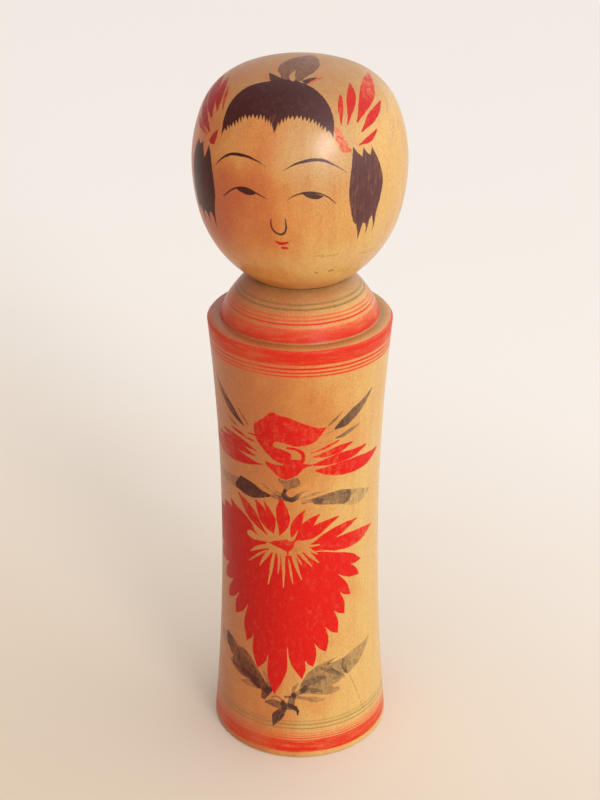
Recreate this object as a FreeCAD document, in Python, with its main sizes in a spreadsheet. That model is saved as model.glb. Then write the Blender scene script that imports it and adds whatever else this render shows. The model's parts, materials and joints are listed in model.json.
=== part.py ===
"""Turned wooden kokeshi doll: a painted torso and a head that snaps into it and turns.

Millimetres.  The origin is the centre of the base, +Z runs up the doll's axis and the face
looks along -Y.  Both pieces are turned on a lathe, so each one is revolved from half-sections
drawn as radius against height, and every size comes from the sheet "dims".
"""
import FreeCAD
import Part
import math
import os

import Sketcher

# alias, value in millimetres, what it is
SIZES = [
    ("neck_height", 172.8, "top of the torso, where the head sits"),
    ("base_radius", 31.0, "torso at the floor"),
    ("waist_radius", 27.1, "torso at its narrowest"),
    ("waist_height", 86.0, "height of the narrowest place"),
    ("shoulder_radius", 30.5, "torso at the shoulder rim"),
    ("shoulder_height", 158.0, "flat top of the shoulder"),
    ("step_radius", 26.2, "foot of the mound that stands on the shoulder"),
    ("mound_round", 23.0, "radius of the mound's swelling side"),
    ("turn_radius", 22.8, "where the mound's side changes from swelling to hollow"),
    ("turn_height", 165.1, "height of that change"),
    ("neck_radius", 16.3, "neck, and the rim of the head's underside"),
    ("seat_gap", 0.12, "play between the neck and the head above it"),
    ("foot_bevel", 0.6, "broken edge round the foot"),
    ("rim_round", 0.9, "softened edge of the shoulder"),
    ("hollow_radius", 24.5, "shallow hollow turned under the base"),
    ("hollow_depth", 0.5, "depth of that hollow at its middle"),
    ("tenon_radius", 8.0, "stub under the head"),
    ("tenon_length", 20.5, "length of the stub"),
    ("tenon_bevel", 0.8, "bevel on the end of the stub"),
    ("bead_radius", 8.9, "bead that keeps the head from lifting off"),
    ("bead_depth", 17.0, "middle of the bead, below the head's underside"),
    ("bead_width", 4.8, "width of the bead where it leaves the stub"),
    ("socket_radius", 8.08, "bore in the neck that the stub turns in"),
    ("socket_depth", 22.0, "depth of the bore"),
    ("groove_radius", 9.25, "groove that the bead snapped into"),
    ("groove_width", 6.2, "width of the groove at the bore"),
    ("head_height", 69.2, "head above its underside"),
    ("head_radius", 33.9, "head at its widest"),
    ("widest_height", 37.0, "height of the widest place above the underside"),
    ("crown_round", 53.7, "radius of the top of the head"),
    ("brow_round", 20.8, "radius of the corner between crown and temple"),
    ("temple_round", 45.8, "radius of the side above the widest place"),
    ("cheek_round", 61.5, "radius of the side below the widest place"),
    ("chin_round", 37.0, "radius of the curve down to the neck"),
]


def fill_sheet(sheet, sizes):
    """Write the sizes down the sheet and give each value its alias."""
    for row, (alias, value, meaning) in enumerate(sizes, 1):
        sheet.set(f"A{row}", alias)
        sheet.set(f"B{row}", str(value))
        sheet.set(f"C{row}", meaning)
        sheet.setAlias(f"B{row}", alias)


def point(radius, height):
    return FreeCAD.Vector(radius, height, 0)


def middle_of_arc(start, end, radius, side):
    """Centre of the arc with this radius; side is +1 to the left of start-to-end, else -1."""
    chord = end - start
    half = chord.Length / 2
    left = FreeCAD.Vector(-chord.y, chord.x, 0).normalize()
    return start + chord * 0.5 + left * side * math.sqrt(radius ** 2 - half ** 2)


def crossing(centre_a, reach_a, centre_b, reach_b):
    """The crossing of two circles that lies further from the axis."""
    apart = centre_b - centre_a
    along = (reach_a ** 2 - reach_b ** 2 + apart.Length ** 2) / (2 * apart.Length)
    across = math.sqrt(reach_a ** 2 - along ** 2)
    unit = apart * (1 / apart.Length)
    foot = centre_a + unit * along
    normal = FreeCAD.Vector(-unit.y, unit.x, 0)
    return max(foot + normal * across, foot - normal * across, key=lambda spot: spot.x)


def touch(centre, inner_centre, radius):
    """Where the circle of this radius touches a smaller one inside it."""
    outward = inner_centre - centre
    return centre + outward * (radius / outward.Length)


class Profile:
    """A half-section of a turned piece, drawn and dimensioned in a sketch."""

    def __init__(self, body, name):
        self.sketch = body.newObject("Sketcher::SketchObject", name)
        planes = {plane.Role: plane for plane in body.Origin.OriginFeatures}
        self.sketch.AttachmentSupport = [(planes["XZ_Plane"], "")]
        self.sketch.MapMode = "FlatFace"

    def ends(self, index, start):
        """The two ends of an edge as (edge, end) pairs, the one at start first."""
        first = (index, 1)
        last = (index, 2)
        if (self.sketch.getPoint(*first) - start).Length > 1e-6:
            first, last = last, first
        return first, last

    def line(self, start, end):
        index = self.sketch.addGeometry(Part.LineSegment(start, end), False)
        return self.ends(index, start)

    def arc(self, start, end, centre):
        """The shorter arc from start to end about centre."""
        circle = Part.Circle(centre, FreeCAD.Vector(0, 0, 1), (start - centre).Length)
        angles = [math.atan2(spot.y - centre.y, spot.x - centre.x) for spot in (start, end)]
        low, high = sorted(angles)
        if high - low > math.pi:
            low, high = high, low + 2 * math.pi
        index = self.sketch.addGeometry(Part.ArcOfCircle(circle, low, high), False)
        return self.ends(index, start)

    def drive(self, constraint, alias):
        """Add a dimension that follows an expression of the sheet's sizes."""
        index = self.sketch.addConstraint(constraint)
        name = f"size_{index}"
        self.sketch.renameConstraint(index, name)
        self.sketch.setExpression(f"Constraints.{name}", alias)

    def at_radius(self, end, expression):
        here = self.sketch.getPoint(*end).x
        self.drive(Sketcher.Constraint("DistanceX", -1, 1, *end, here), expression)

    def at_height(self, end, expression):
        here = self.sketch.getPoint(*end).y
        self.drive(Sketcher.Constraint("DistanceY", -1, 1, *end, here), expression)

    def round(self, edge, alias):
        here = self.sketch.Geometry[edge[0][0]].Radius
        self.drive(Sketcher.Constraint("Radius", edge[0][0], here), f"dims.{alias}")

    def centre_at_height(self, edge, expression):
        self.at_height((edge[0][0], 3), expression)

    def centre_on_axis(self, edge):
        self.sketch.addConstraint(Sketcher.Constraint("PointOnObject", edge[0][0], 3, -2))

    def on_axis(self, end):
        self.sketch.addConstraint(Sketcher.Constraint("PointOnObject", *end, -2))

    def level(self, edge):
        self.sketch.addConstraint(Sketcher.Constraint("Horizontal", edge[0][0]))

    def upright(self, edge):
        self.sketch.addConstraint(Sketcher.Constraint("Vertical", edge[0][0]))

    def join(self, edge, following):
        self.sketch.addConstraint(Sketcher.Constraint("Coincident", *edge[1], *following[0]))

    def blend(self, edge, following):
        """Join two edges so that one runs smoothly into the other."""
        self.sketch.addConstraint(Sketcher.Constraint("Tangent", *edge[1], *following[0]))

    def join_all(self, edges, smooth=()):
        """Close a loop of edges; smooth lists the edges that blend into the next one."""
        for edge, following in zip(edges, edges[1:] + edges[:1]):
            if edge in smooth:
                self.blend(edge, following)
            else:
                self.join(edge, following)

    def turn(self, body, kind, name):
        """Revolve the half-section about the doll's axis, as added or removed material."""
        body.Document.recompute()
        feature = body.newObject(f"PartDesign::{kind}", name)
        feature.Profile = self.sketch
        feature.ReferenceAxis = (self.sketch, ["V_Axis"])
        feature.Angle = 360
        self.sketch.Visibility = False
        body.Document.recompute()
        return feature


def rim_names(shape, radius, height):
    """Names of the circular edges at this radius and height."""
    names = []
    for number, edge in enumerate(shape.Edges, 1):
        if not isinstance(edge.Curve, Part.Circle):
            continue
        same_radius = abs(edge.Curve.Radius - radius) < 1e-3
        same_height = abs(edge.Curve.Center.z - height) < 1e-3
        if same_radius and same_height:
            names.append(f"Edge{number}")
    return names


def ease_rim(body, kind, name, radius, height, alias):
    """Round or bevel one circular edge of the body."""
    before = body.Tip
    feature = body.newObject(f"PartDesign::{kind}", name)
    feature.Base = (before, rim_names(before.Shape, radius, height))
    feature.setExpression("Size" if kind == "Chamfer" else "Radius", f"dims.{alias}")
    body.Document.recompute()


def draw_torso(body, size):
    """The waisted body with its flat shoulder and the mound that carries the head."""
    seat = size["neck_height"] - size["seat_gap"]
    floor_centre = point(0, 0)
    foot = point(size["base_radius"], 0)
    waist = point(size["waist_radius"], size["waist_height"])
    shoulder = point(size["shoulder_radius"], size["shoulder_height"])
    step = point(size["step_radius"], size["shoulder_height"])
    turn = point(size["turn_radius"], size["turn_height"])
    neck = point(size["neck_radius"], seat)
    top_centre = point(0, seat)

    def side_centre(end):
        """Centre of a side arc that stands upright at the waist and reaches end."""
        out = end.x - waist.x
        rise = end.y - waist.y
        return waist + point((out ** 2 + rise ** 2) / (2 * out), 0)

    mound_centre = middle_of_arc(step, turn, size["mound_round"], 1)
    outward = (turn - mound_centre).normalize()
    back = turn - neck
    hollow_round = -back.Length ** 2 / (2 * outward.dot(back))

    profile = Profile(body, "torso_profile")
    under = profile.line(floor_centre, foot)
    lower = profile.arc(foot, waist, side_centre(foot))
    upper = profile.arc(waist, shoulder, side_centre(shoulder))
    ledge = profile.line(shoulder, step)
    mound = profile.arc(step, turn, mound_centre)
    throat = profile.arc(turn, neck, turn + outward * hollow_round)
    top = profile.line(neck, top_centre)
    axis = profile.line(top_centre, floor_centre)
    profile.join_all([under, lower, upper, ledge, mound, throat, top, axis], smooth=[mound])

    profile.on_axis(under[0])
    profile.on_axis(top[1])
    profile.level(top)
    for end, radius, height in (
        (under[0], None, "0"),
        (under[1], "dims.base_radius", "0"),
        (lower[1], "dims.waist_radius", "dims.waist_height"),
        (upper[1], "dims.shoulder_radius", "dims.shoulder_height"),
        (ledge[1], "dims.step_radius", "dims.shoulder_height"),
        (mound[1], "dims.turn_radius", "dims.turn_height"),
        (throat[1], "dims.neck_radius", "dims.neck_height - dims.seat_gap"),
    ):
        if radius:
            profile.at_radius(end, radius)
        profile.at_height(end, height)
    profile.centre_at_height(lower, "dims.waist_height")
    profile.centre_at_height(upper, "dims.waist_height")
    profile.round(mound, "mound_round")
    return profile


def draw_base_hollow(body, size):
    """A shallow cone under the base, so that the doll stands on an outer ring."""
    profile = Profile(body, "hollow_profile")
    centre = point(0, 0)
    peak = point(0, size["hollow_depth"])
    rim = point(size["hollow_radius"], 0)
    floor = profile.line(centre, rim)
    slope = profile.line(rim, peak)
    axis = profile.line(peak, centre)
    profile.join_all([floor, slope, axis])
    profile.at_radius(floor[0], "0")
    profile.at_height(floor[0], "0")
    profile.level(floor)
    profile.upright(axis)
    profile.at_radius(floor[1], "dims.hollow_radius")
    profile.at_height(slope[1], "dims.hollow_depth")
    return profile


def bulge_centre(edge_radius, peak_radius, middle_height, width):
    """Centre of the arc that swells from edge_radius to peak_radius over this width."""
    rise = peak_radius - edge_radius
    curve = ((width / 2) ** 2 + rise ** 2) / (2 * rise)
    return point(peak_radius - curve, middle_height)


def draw_socket(body, size):
    """The bore in the neck with the round groove near its bottom."""
    bore = size["socket_radius"]
    seat = size["neck_height"] - size["seat_gap"]
    bottom = size["neck_height"] - size["socket_depth"]
    groove_middle = size["neck_height"] - size["bead_depth"]
    half = size["groove_width"] / 2
    corners = [
        point(0, seat),
        point(bore, seat),
        point(bore, groove_middle + half),
        point(bore, groove_middle - half),
        point(bore, bottom),
        point(0, bottom),
    ]
    centre = bulge_centre(bore, size["groove_radius"], groove_middle, 2 * half)

    profile = Profile(body, "socket_profile")
    mouth = profile.line(corners[0], corners[1])
    wall = profile.line(corners[1], corners[2])
    groove = profile.arc(corners[2], corners[3], centre)
    lower_wall = profile.line(corners[3], corners[4])
    floor = profile.line(corners[4], corners[5])
    axis = profile.line(corners[5], corners[0])
    profile.join_all([mouth, wall, groove, lower_wall, floor, axis])
    profile.at_radius(mouth[0], "0")
    profile.at_height(mouth[0], "dims.neck_height - dims.seat_gap")
    profile.level(mouth)
    profile.upright(wall)
    profile.upright(lower_wall)
    profile.level(floor)
    profile.on_axis(floor[1])
    profile.at_radius(mouth[1], "dims.socket_radius")
    profile.at_height(wall[1], "dims.neck_height - dims.bead_depth + dims.groove_width / 2")
    profile.at_radius(groove[1], "dims.socket_radius")
    profile.at_height(groove[1], "dims.neck_height - dims.bead_depth - dims.groove_width / 2")
    profile.at_height(floor[0], "dims.neck_height - dims.socket_depth")
    rise = "(dims.groove_radius - dims.socket_radius)"
    curve = f"((dims.groove_width / 2) ^ 2 + {rise} ^ 2) / (2 * {rise})"
    profile.at_radius((groove[0][0], 3), f"dims.groove_radius - {curve}")
    return profile


def draw_head(body, size):
    """The round head, measured up from its flat underside."""
    top = point(0, size["head_height"])
    widest = point(size["head_radius"], size["widest_height"])
    rim = point(size["neck_radius"], 0)
    centre_of = {
        "crown": top - point(0, size["crown_round"]),
        "temple": widest - point(size["temple_round"], 0),
        "cheek": widest - point(size["cheek_round"], 0),
    }
    centre_of["brow"] = crossing(
        centre_of["crown"], size["crown_round"] - size["brow_round"],
        centre_of["temple"], size["temple_round"] - size["brow_round"],
    )
    centre_of["chin"] = crossing(
        centre_of["cheek"], size["cheek_round"] - size["chin_round"],
        rim, size["chin_round"],
    )
    if centre_of["chin"].y < rim.y:
        raise ValueError("the chin curve does not reach the neck")
    crown_end = touch(centre_of["crown"], centre_of["brow"], size["crown_round"])
    temple_start = touch(centre_of["temple"], centre_of["brow"], size["temple_round"])
    chin_start = touch(centre_of["cheek"], centre_of["chin"], size["cheek_round"])

    profile = Profile(body, "head_profile")
    crown = profile.arc(top, crown_end, centre_of["crown"])
    brow = profile.arc(crown_end, temple_start, centre_of["brow"])
    temple = profile.arc(temple_start, widest, centre_of["temple"])
    cheek = profile.arc(widest, chin_start, centre_of["cheek"])
    chin = profile.arc(chin_start, rim, centre_of["chin"])
    under = profile.line(rim, point(0, 0))
    axis = profile.line(point(0, 0), top)
    curves = [crown, brow, temple, cheek, chin]
    profile.join_all(curves + [under, axis], smooth=[crown, brow, cheek])
    for curve, alias in zip(curves, ("crown_round", "brow_round", "temple_round",
                                     "cheek_round", "chin_round")):
        profile.round(curve, alias)
    profile.centre_on_axis(crown)
    profile.on_axis(crown[0])
    profile.at_height(crown[0], "dims.head_height")
    profile.at_radius(temple[1], "dims.head_radius")
    profile.at_height(temple[1], "dims.widest_height")
    profile.centre_at_height(temple, "dims.widest_height")
    profile.centre_at_height(cheek, "dims.widest_height")
    profile.at_radius(chin[1], "dims.neck_radius")
    profile.at_height(chin[1], "0")
    profile.at_radius(under[1], "0")
    profile.level(under)
    return profile


def draw_tenon(body, size):
    """The stub under the head, with the bead near its end."""
    radius = size["tenon_radius"]
    end = -size["tenon_length"]
    middle = -size["bead_depth"]
    half = size["bead_width"] / 2
    bevel = size["tenon_bevel"]
    corners = [
        point(0, 0),
        point(radius, 0),
        point(radius, middle + half),
        point(radius, middle - half),
        point(radius, end + bevel),
        point(radius - bevel, end),
        point(0, end),
    ]
    centre = bulge_centre(radius, size["bead_radius"], middle, 2 * half)

    profile = Profile(body, "tenon_profile")
    root = profile.line(corners[0], corners[1])
    stem = profile.line(corners[1], corners[2])
    bead = profile.arc(corners[2], corners[3], centre)
    tip = profile.line(corners[3], corners[4])
    slope = profile.line(corners[4], corners[5])
    face = profile.line(corners[5], corners[6])
    axis = profile.line(corners[6], corners[0])
    profile.join_all([root, stem, bead, tip, slope, face, axis])
    profile.at_radius(root[0], "0")
    profile.at_height(root[0], "0")
    profile.level(root)
    profile.upright(stem)
    profile.upright(tip)
    profile.level(face)
    profile.on_axis(face[1])
    profile.at_radius(root[1], "dims.tenon_radius")
    profile.at_height(stem[1], "dims.bead_width / 2 - dims.bead_depth")
    profile.at_radius(bead[1], "dims.tenon_radius")
    profile.at_height(bead[1], "-dims.bead_depth - dims.bead_width / 2")
    profile.at_height(tip[1], "dims.tenon_bevel - dims.tenon_length")
    profile.at_radius(slope[1], "dims.tenon_radius - dims.tenon_bevel")
    profile.at_height(slope[1], "-dims.tenon_length")
    rise = "(dims.bead_radius - dims.tenon_radius)"
    curve = f"((dims.bead_width / 2) ^ 2 + {rise} ^ 2) / (2 * {rise})"
    profile.at_radius((bead[0][0], 3), f"dims.bead_radius - {curve}")
    return profile


def new_body(doc, name):
    body = doc.addObject("PartDesign::Body", name)
    body.Label = name
    return body


def build_torso(doc, size):
    body = new_body(doc, "torso")
    draw_torso(body, size).turn(body, "Revolution", "torso_turning")
    draw_base_hollow(body, size).turn(body, "Groove", "base_hollow")
    draw_socket(body, size).turn(body, "Groove", "neck_socket")
    ease_rim(body, "Chamfer", "foot_edge", size["base_radius"], 0, "foot_bevel")
    ease_rim(body, "Fillet", "shoulder_edge", size["shoulder_radius"],
             size["shoulder_height"], "rim_round")
    return body


def build_head(doc, size):
    body = new_body(doc, "head")
    draw_head(body, size).turn(body, "Revolution", "head_turning")
    draw_tenon(body, size).turn(body, "Revolution", "tenon_turning")
    body.setExpression("Placement.Base.z", "dims.neck_height")
    return body


def check(doc, bodies):
    """Stop if any feature failed or a piece is not one sound solid."""
    for item in doc.Objects:
        if "Invalid" in item.State or "Error" in item.State:
            raise RuntimeError(f"{item.Name}: {item.State}")
        if item.TypeId == "Sketcher::SketchObject" and item.solve() != 0:
            raise RuntimeError(f"{item.Name} does not solve")
    for body in bodies:
        shape = body.Shape
        if shape.isNull() or not shape.isValid() or len(shape.Solids) != 1:
            raise RuntimeError(f"{body.Label} is not one valid solid")


def main():
    doc = FreeCAD.newDocument("kokeshi")
    sheet = doc.addObject("Spreadsheet::Sheet", "dims")
    fill_sheet(sheet, SIZES)
    doc.recompute()
    size = {alias: value for alias, value, _ in SIZES}
    bodies = [build_torso(doc, size), build_head(doc, size)]
    doc.recompute()
    check(doc, bodies)
    os.makedirs("parts", exist_ok=True)
    for body in bodies:
        body.Shape.exportStep(f"parts/{body.Label}.step")
        box = body.Shape.optimalBoundingBox()
        print(f"{body.Label}: {box.XLength:.2f} x {box.YLength:.2f} x {box.ZLength:.2f} mm,"
              f" z {box.ZMin:.2f} to {box.ZMax:.2f}, {body.Shape.Volume / 1000:.1f} cm3")


main()
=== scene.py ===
import json
import math

import bmesh
import bpy
import numpy as np
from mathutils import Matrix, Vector


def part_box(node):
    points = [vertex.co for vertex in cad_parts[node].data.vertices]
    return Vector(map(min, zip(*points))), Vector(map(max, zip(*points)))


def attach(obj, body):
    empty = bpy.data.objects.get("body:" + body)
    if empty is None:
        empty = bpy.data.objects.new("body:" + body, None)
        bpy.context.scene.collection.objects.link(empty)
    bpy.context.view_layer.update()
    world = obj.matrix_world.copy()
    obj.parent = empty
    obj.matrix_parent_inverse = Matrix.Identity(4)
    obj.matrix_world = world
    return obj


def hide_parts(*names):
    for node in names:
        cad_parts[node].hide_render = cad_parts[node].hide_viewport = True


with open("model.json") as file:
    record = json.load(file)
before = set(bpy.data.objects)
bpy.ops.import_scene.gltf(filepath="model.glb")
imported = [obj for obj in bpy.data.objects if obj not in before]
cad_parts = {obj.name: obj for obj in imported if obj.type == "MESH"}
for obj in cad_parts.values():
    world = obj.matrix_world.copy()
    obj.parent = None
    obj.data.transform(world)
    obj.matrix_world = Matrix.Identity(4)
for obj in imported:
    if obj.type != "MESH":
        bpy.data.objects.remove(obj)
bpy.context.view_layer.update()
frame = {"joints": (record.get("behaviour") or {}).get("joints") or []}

# A turned kokeshi doll.  Lengths are millimetres unless a comment says otherwise; the face looks
# along -Y.  Angles round the doll are measured from -Y towards +X.
MM = 0.001
# the camera stands this far round towards the doll's left
TURN = math.radians(11.0)


# ------------------------------------------------------------------ half-sections

def spot(radius, height):
    return np.array([radius, height], float)


def bow(sag, half):
    """Radius of the arc that stands sag high over a chord of twice half."""
    return (sag ** 2 + half ** 2) / (2 * sag)


def crossing(centre_a, reach_a, centre_b, reach_b):
    """The crossing of two circles that lies further from the axis."""
    apart = centre_b - centre_a
    gap = np.hypot(*apart)
    along = (reach_a ** 2 - reach_b ** 2 + gap ** 2) / (2 * gap)
    across = math.sqrt(reach_a ** 2 - along ** 2)
    unit = apart / gap
    foot = centre_a + unit * along
    normal = np.array([-unit[1], unit[0]])
    return max(foot + normal * across, foot - normal * across, key=lambda point: point[0])


def touch(centre, inner, radius):
    """Where the circle touches the smaller one inside it."""
    outward = inner - centre
    return centre + outward * radius / np.hypot(*outward)


def arc(start, end, centre, step=0.1):
    """Points of the shorter arc from start to end, without the start point."""
    radius = np.hypot(*(start - centre))
    first = math.atan2(*(start - centre)[::-1])
    last = math.atan2(*(end - centre)[::-1])
    if last - first > math.pi:
        last -= 2 * math.pi
    if first - last > math.pi:
        last += 2 * math.pi
    count = max(2, int(abs(last - first) * radius / step))
    angle = np.linspace(first, last, count + 1)[1:]
    return centre + radius * np.stack([np.cos(angle), np.sin(angle)], 1)


def line(start, end, step=0.1):
    """Points of the straight line from start to end, without the start point."""
    count = max(2, int(np.hypot(*(end - start)) / step))
    share = np.linspace(0, 1, count + 1)[1:, None]
    return start + (end - start) * share


class Section:
    """A half-section walked from one end to the other, measured by length along it."""

    def __init__(self, start):
        self.points = [np.array([start])]
        self.corners = [0.0]

    def add(self, points, corner=True):
        self.points.append(points)
        self.walk = np.concatenate(self.points)
        steps = np.hypot(*np.diff(self.walk, axis=0).T)
        self.at = np.concatenate([[0], np.cumsum(steps)])
        if corner:
            self.corners.append(float(steps.sum()))

    def radius(self, along):
        return np.interp(along, self.at, self.walk[:, 0])

    def height(self, along):
        return np.interp(along, self.at, self.walk[:, 1])

    def rows(self, pitch, guard=0.12):
        """Lengths where rows of faces end: evenly spaced, and close on each side of a corner."""
        rows = []
        for low, high in zip(self.corners, self.corners[1:]):
            if high - low < 3 * guard:
                inner = []
            else:
                count = max(1, int(round((high - low - 2 * guard) / pitch)))
                inner = list(np.linspace(low + guard, high - guard, count + 1))
            rows += [low] + inner
        return np.array(rows + [self.corners[-1]])


NECK_RIM = 16.3
# the bead under the head and its groove stand this far below the neck
BEAD_DROP = 17


def add_fitting(section, corners, round_centre):
    """The hidden fit of head and torso: straight lines, with one round part third in the row."""
    for index, (start, end) in enumerate(zip(corners, corners[1:])):
        section.add(arc(start, end, round_centre) if index == 2 else line(start, end))


def head_section(top, neck):
    """From the crown over the face to the neck, across the underside and down the stub."""
    crown_arc, brow_arc, temple_arc, cheek_arc, chin_arc = 53.7, 20.8, 45.8, 61.5, 37
    widest = spot(33.9, neck + 37)
    crown = spot(0, top - crown_arc)
    temple, cheek = widest - spot(temple_arc, 0), widest - spot(cheek_arc, 0)
    rim = spot(NECK_RIM, neck)
    brow = crossing(crown, crown_arc - brow_arc, temple, temple_arc - brow_arc)
    chin = crossing(cheek, cheek_arc - chin_arc, rim, chin_arc)
    crown_end, temple_start = touch(crown, brow, crown_arc), touch(temple, brow, temple_arc)
    chin_start = touch(cheek, chin, cheek_arc)
    section = Section(spot(0, top))
    section.add(arc(spot(0, top), crown_end, crown), corner=False)
    section.add(arc(crown_end, temple_start, brow), corner=False)
    section.add(arc(temple_start, widest, temple), corner=False)
    section.add(arc(widest, chin_start, cheek), corner=False)
    section.add(arc(chin_start, rim, chin))
    add_fitting(section, [
        rim, spot(8, neck), spot(8, neck - 14.6), spot(8, neck - 19.4), spot(8, neck - 19.7),
        spot(7.2, neck - 20.5), spot(0, neck - 20.5),
    ], spot(8.9 - bow(0.9, 2.4), neck - BEAD_DROP))
    return section


def torso_section(neck):
    """From the middle of the base to the foot, up the side, over the mound and down the socket."""
    waist, ledge, mound_arc = spot(27.1, 86), 158, 23
    lower = waist + spot(bow(3.9, waist[1]), 0)
    upper = waist + spot(bow(3.4, ledge - waist[1]), 0)

    def side(centre, height):
        reach = centre[0] - waist[0]
        return spot(centre[0] - math.sqrt(reach ** 2 - (height - waist[1]) ** 2), height)

    seat = neck - 0.12
    step, turn, rim = spot(26.2, ledge), spot(22.8, 165.1), spot(NECK_RIM, seat)
    chord = turn - step
    left = np.array([-chord[1], chord[0]]) / np.hypot(*chord)
    mound = step + chord / 2 + left * math.sqrt(mound_arc ** 2 - np.hypot(*chord) ** 2 / 4)
    outward = (turn - mound) / np.hypot(*(turn - mound))
    back = turn - rim
    throat = turn + outward * (-back.dot(back) / (2 * outward.dot(back)))
    rim_low = side(upper, 157.1)
    rim_high = spot(rim_low[0] - 0.9, ledge)
    hollow, ring_in, ring_out = spot(0, 0.5), spot(24.5, 0), spot(30.4, 0)
    foot = side(lower, 0.6)
    section = Section(hollow)
    section.add(line(hollow, ring_in))
    section.add(line(ring_in, ring_out))
    section.add(line(ring_out, foot))
    section.add(arc(foot, waist, lower, step=0.5), corner=False)
    section.add(arc(waist, rim_low, upper, step=0.5), corner=False)
    section.add(arc(rim_low, rim_high, spot(rim_high[0], rim_low[1]), step=0.03),
                corner=False)
    section.add(line(rim_high, step))
    section.add(arc(step, turn, mound), corner=False)
    section.add(arc(turn, rim, throat))
    bore = 8.08
    add_fitting(section, [
        rim, spot(bore, seat), spot(bore, neck - 13.9), spot(bore, neck - 20.1),
        spot(bore, neck - 22), spot(0, neck - 22),
    ], spot(9.25 - bow(1.17, 3.1), neck - BEAD_DROP))
    return section


# ------------------------------------------------------------------ brush marks

# edge distances count up to FAR, marks are measured MARGIN around, and BEYOND is past them all
FAR, MARGIN, BEYOND = 3.0, 3.2, 9.0


def curve_through(points, per_span=8):
    """A smooth curve through the points (Catmull-Rom)."""
    points = np.array(points, float)
    before_first, after_last = 2 * points[:1] - points[1:2], 2 * points[-1:] - points[-2:-1]
    row = np.concatenate([before_first, points, after_last])
    share = np.linspace(0, 1, per_span, endpoint=False)[:, None]
    spans = []
    for before, start, end, after in zip(row, row[1:], row[2:], row[3:]):
        spans.append(0.5 * (2 * start + (end - before) * share
                            + (2 * before - 5 * start + 4 * end - after) * share ** 2
                            + (3 * start - before - 3 * end + after) * share ** 3))
    return np.concatenate(spans + [points[-1:]])


class Stroke:
    """One pull of the brush: a smooth course of points, each with the width there.  The load of
    dye may run to another at the far end."""

    def __init__(self, chart, course, load=1.0, fade=None):
        course = np.array(course, float)
        self.chart = chart
        self.path = curve_through(course[:, :2])
        places = np.linspace(0, 1, len(course))
        dense = np.linspace(0, 1, len(self.path))
        self.half = np.interp(dense, places, course[:, 2]) / 2
        self.half = np.convolve(np.pad(self.half, 2, mode="edge"), np.ones(5) / 5, "valid")
        self.load = load
        self.fade = load if fade is None else fade
        reach = self.half.max() + MARGIN
        self.low = self.path.min(0) - reach
        self.high = self.path.max(0) + reach

    def measure(self, spots):
        """Distance to the mark's edge (negative inside), place across it and place along it."""
        best = np.full(len(spots), BEYOND)
        across = np.zeros(len(spots))
        along = np.zeros(len(spots))
        walked = 0.0
        for index in range(len(self.path) - 1):
            start = self.path[index]
            step = self.path[index + 1] - start
            length = np.hypot(*step)
            away = spots - start
            share = np.clip(away @ step / length ** 2, 0, 1)
            side = (away[:, 0] * step[1] - away[:, 1] * step[0]) / length
            off = np.hypot(*(away - share[:, None] * step).T)
            off -= self.half[index] + share * (self.half[index + 1] - self.half[index])
            closer = off < best
            best = np.where(closer, off, best)
            across = np.where(closer, side, across)
            along = np.where(closer, walked + share * length, along)
            walked += length
        self.length = walked
        return best, across, along

    def tone(self, along):
        return self.load + (self.fade - self.load) * np.clip(along / self.length, 0, 1)


class Patch:
    """A filled shape, brushed in one direction.  Each side is the points from one corner to the
    next, without the corner it starts from, and the last side closes on the start."""

    def __init__(self, chart, start, sides, load=1.0, grain=(0, 1)):
        self.chart = chart
        rim = []
        corner = start
        for side in sides[:-1] + [sides[-1] + [start]]:
            side = [corner] + side
            rim.append((curve_through(side, 6) if len(side) > 2 else np.array(side, float))[:-1])
            corner = side[-1]
        self.rim = np.concatenate(rim)
        self.load = load
        self.grain = np.array(grain, float) / np.hypot(*grain)
        self.low = self.rim.min(0) - MARGIN
        self.high = self.rim.max(0) + MARGIN

    def measure(self, spots):
        """Distance to the rim (negative inside), place across the brushing and place along it."""
        best = np.full(len(spots), BEYOND ** 2)
        inside = np.zeros(len(spots), bool)
        for start, end in zip(self.rim, np.roll(self.rim, -1, axis=0)):
            step = end - start
            away = spots - start
            share = np.clip(away @ step / max(step @ step, 1e-12), 0, 1)
            best = np.minimum(best, ((away - share[:, None] * step) ** 2).sum(1))
            if start[1] != end[1]:
                low, high = min(start[1], end[1]), max(start[1], end[1])
                between = (spots[:, 1] >= low) & (spots[:, 1] < high)
                reach = start[0] + (spots[:, 1] - start[1]) * step[0] / step[1]
                inside ^= between & (spots[:, 0] < reach)
        distance = np.sqrt(best)
        across = spots @ np.array([self.grain[1], -self.grain[0]])
        return np.where(inside, -distance, distance), across, spots @ self.grain

    def tone(self, along):
        return np.full(len(along), self.load)


class Lift:
    """Bare wood left between brush marks: takes paint away."""

    def __init__(self, mark):
        self.mark = mark


def petal_row(start, notches_and_tips, bulge):
    """Sides of a jagged edge: from each notch to a tip and back, each side swelling outward."""
    sides = []
    here = np.array(start, float)
    for there in notches_and_tips:
        there = np.array(there, float)
        step = there - here
        swell = np.array([-step[1], step[0]]) * bulge
        sides.append([(here + there) / 2 + swell, there])
        here = there
    return sides


# ------------------------------------------------------------------ the painting

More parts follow.
